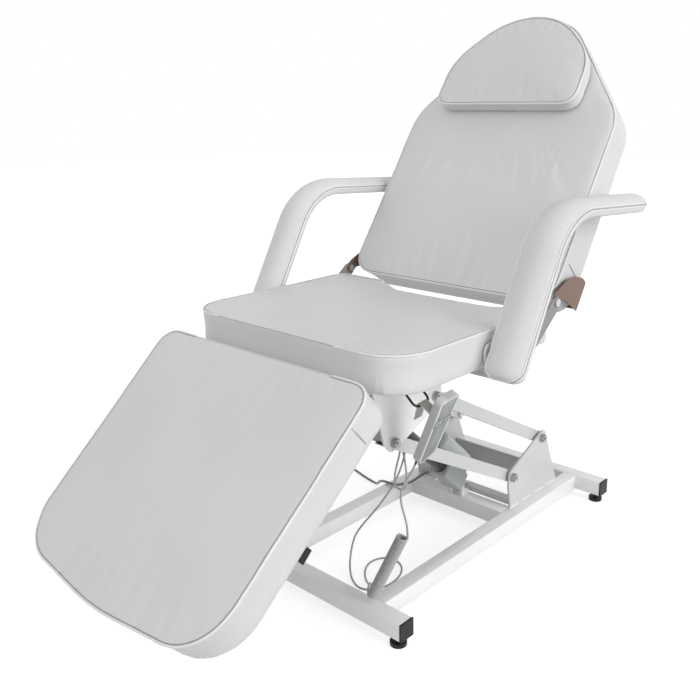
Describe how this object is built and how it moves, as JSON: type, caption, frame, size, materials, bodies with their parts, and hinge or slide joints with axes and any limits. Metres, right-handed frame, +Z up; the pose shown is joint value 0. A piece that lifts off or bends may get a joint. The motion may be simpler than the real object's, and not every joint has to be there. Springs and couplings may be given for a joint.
{
  "type": "beauty treatment chair",
  "caption": "reclining beauty treatment chair with padded seat, back, leg rest, pillow and armrests on a parallel-link electric lift with a tube base and corded handset",
  "frame": {"origin": "on the floor under the middle of the chair's bounding box, measured without its cords", "axes": "+Y towards the head end, +Z up, +X to the side with the handset"},
  "size_m": [0.9285, 1.4533, 1.2849],
  "materials": {
    "white_vinyl": "satin coated cloth over foam",
    "white_paint": "gloss powder coat",
    "dark_paint": "satin powder coat",
    "bronze_plate": "satin bronze coat",
    "zinc_steel": "zinc plated",
    "grey_sheet": "brushed sheet",
    "black_wire": "gloss coat",
    "bright_rod": "polished",
    "dark_tube": "satin coat",
    "grey_plastic": "fine grain",
    "black_plastic": "gloss",
    "ivory_plastic": "fine grain",
    "key_rubber": "matt",
    "plywood": "raw board",
    "cord_grey": "satin",
    "cord_black": "satin"
  },
  "bodies": {
    "base": {"base_rail_left": "white_paint", "base_rail_right": "white_paint", "base_front_bar": "white_paint", "base_rear_bar": "white_paint", "base_mid_bar": "white_paint", "base_end_caps": "black_plastic", "bracket_plate_left": "white_paint", "bracket_plate_right": "white_paint", "bracket_ties": "white_paint", "base_bolts": "zinc_steel", "mains_lead_root": "cord_black", "mains_lead": "cord_black", "mains_coil": "cord_black", "mains_plug": "black_plastic"},
    "foot_fl": {"foot_front_left": "black_plastic"},
    "foot_fr": {"foot_front_right": "black_plastic"},
    "foot_rl": {"foot_rear_left": "black_plastic"},
    "foot_rr": {"foot_rear_right": "black_plastic"},
    "lower_link": {"lower_link_arm_left": "white_paint", "lower_link_arm_right": "white_paint", "lower_link_cross_tube": "white_paint"},
    "upper_link": {"upper_link_arm_left": "white_paint", "upper_link_arm_right": "white_paint", "upper_link_cross_tube": "white_paint"},
    "actuator_body": {"actuator_housing": "grey_plastic", "actuator_tube": "dark_tube"},
    "actuator_rod": {"actuator_rod": "bright_rod"},
    "carriage": {"carriage_plate_left": "white_paint", "carriage_plate_right": "white_paint", "carriage_front_plate": "white_paint", "carriage_cross_tube": "white_paint", "carriage_bolts": "zinc_steel", "seat_rail_left": "white_paint", "seat_rail_right": "white_paint", "seat_arm_cross": "dark_paint", "seat_back_cross": "dark_paint", "seat_board": "plywood", "seat_cushion": "white_vinyl", "control_box": "grey_plastic", "handset_bail": "black_wire", "handset_back_shell": "ivory_plastic", "handset_front_shell": "ivory_plastic", "handset_clip": "grey_sheet", "handset_cord_drop": "cord_grey", "handset_cord_curl": "cord_grey", "handset_cord_tail": "cord_grey"},
    "back": {"back_board": "plywood", "back_cushion": "white_vinyl", "back_hinge_plates": "bronze_plate", "pillow": "white_vinyl"},
    "leg": {"leg_board": "plywood", "leg_cushion": "white_vinyl", "leg_frame": "white_paint", "leg_tube_plugs": "black_plastic"},
    "arm_left": {"arm_pad_left": "white_vinyl", "arm_steel_left": "dark_paint"},
    "arm_right": {"arm_pad_right": "white_vinyl", "arm_steel_right": "dark_paint"},
    "key_up": {"button_up": "key_rubber"},
    "key_down": {"button_down": "key_rubber"}
  },
  "joints": [
    {"name": "lift", "type": "hinge", "parent": "base", "child": "lower_link", "pos_m": [0, 0.343, 0.146], "axis": [-1, 0, 0], "range_deg": [0, 35.5]},
    {"name": "upper_swing", "type": "hinge", "parent": "base", "child": "upper_link", "pos_m": [0, 0.479, 0.211], "axis": [-1, 0, 0], "range_deg": [0, 36]},
    {"name": "carriage_level", "type": "hinge", "parent": "lower_link", "child": "carriage", "pos_m": [0, -0.11397, 0.39205], "axis": [-1, 0, 0], "range_deg": [-36, 0]},
    {"name": "actuator_tilt", "type": "hinge", "parent": "base", "child": "actuator_body", "pos_m": [0, 0.321, 0.09], "axis": [-1, 0, 0], "range_deg": [0, 33], "deforming": ["mains_lead_root"]},
    {"name": "rod_tilt", "type": "hinge", "parent": "carriage", "child": "actuator_rod", "pos_m": [0, -0.05397, 0.44705], "axis": [-1, 0, 0], "range_deg": [0, 33]},
    {"name": "back_recline", "type": "hinge", "parent": "carriage", "child": "back", "pos_m": [0, 0.24073, 0.65055], "axis": [1, 0, 0], "range_deg": [-55.6, 20]},
    {"name": "leg_raise", "type": "hinge", "parent": "carriage", "child": "leg", "pos_m": [0, -0.27407, 0.55755], "axis": [-1, 0, 0], "range_deg": [-35, 42.3]},
    {"name": "arm_left_fold", "type": "hinge", "parent": "carriage", "child": "arm_left", "pos_m": [-0.366, -0.00877, 0.59635], "axis": [1, 0, 0], "range_deg": [0, 100]},
    {"name": "arm_right_fold", "type": "hinge", "parent": "carriage", "child": "arm_right", "pos_m": [0.366, -0.00877, 0.59635], "axis": [1, 0, 0], "range_deg": [0, 100]},
    {"name": "foot_fl_turn", "type": "hinge", "parent": "base", "child": "foot_fl", "pos_m": [-0.24, -0.204, 0.012], "axis": [0, 0, 1], "continuous": true},
    {"name": "foot_fr_turn", "type": "hinge", "parent": "base", "child": "foot_fr", "pos_m": [0.24, -0.204, 0.012], "axis": [0, 0, 1], "continuous": true},
    {"name": "foot_rl_turn", "type": "hinge", "parent": "base", "child": "foot_rl", "pos_m": [-0.24, 0.634, 0.012], "axis": [0, 0, 1], "continuous": true},
    {"name": "foot_rr_turn", "type": "hinge", "parent": "base", "child": "foot_rr", "pos_m": [0.24, 0.634, 0.012], "axis": [0, 0, 1], "continuous": true},
    {"name": "press_up", "type": "slide", "parent": "carriage", "child": "key_up", "axis": [-0.9018, -0.0392, 0.4303], "range_m": [0, 0.0009], "stiffness_N_per_m": 1500, "springref_m": -0.0005},
    {"name": "press_down", "type": "slide", "parent": "carriage", "child": "key_down", "axis": [-0.9018, -0.0392, 0.4303], "range_m": [0, 0.0009], "stiffness_N_per_m": 1500, "springref_m": -0.0005}
  ],
  "couplings": [
    {"joint": "upper_swing", "follows": "lift", "ratio": 1},
    {"joint": "carriage_level", "follows": "lift", "ratio": -1},
    {"joint": "actuator_tilt", "follows": "lift", "ratio": 0.9132},
    {"joint": "rod_tilt", "follows": "lift", "ratio": 0.9132}
  ]
}
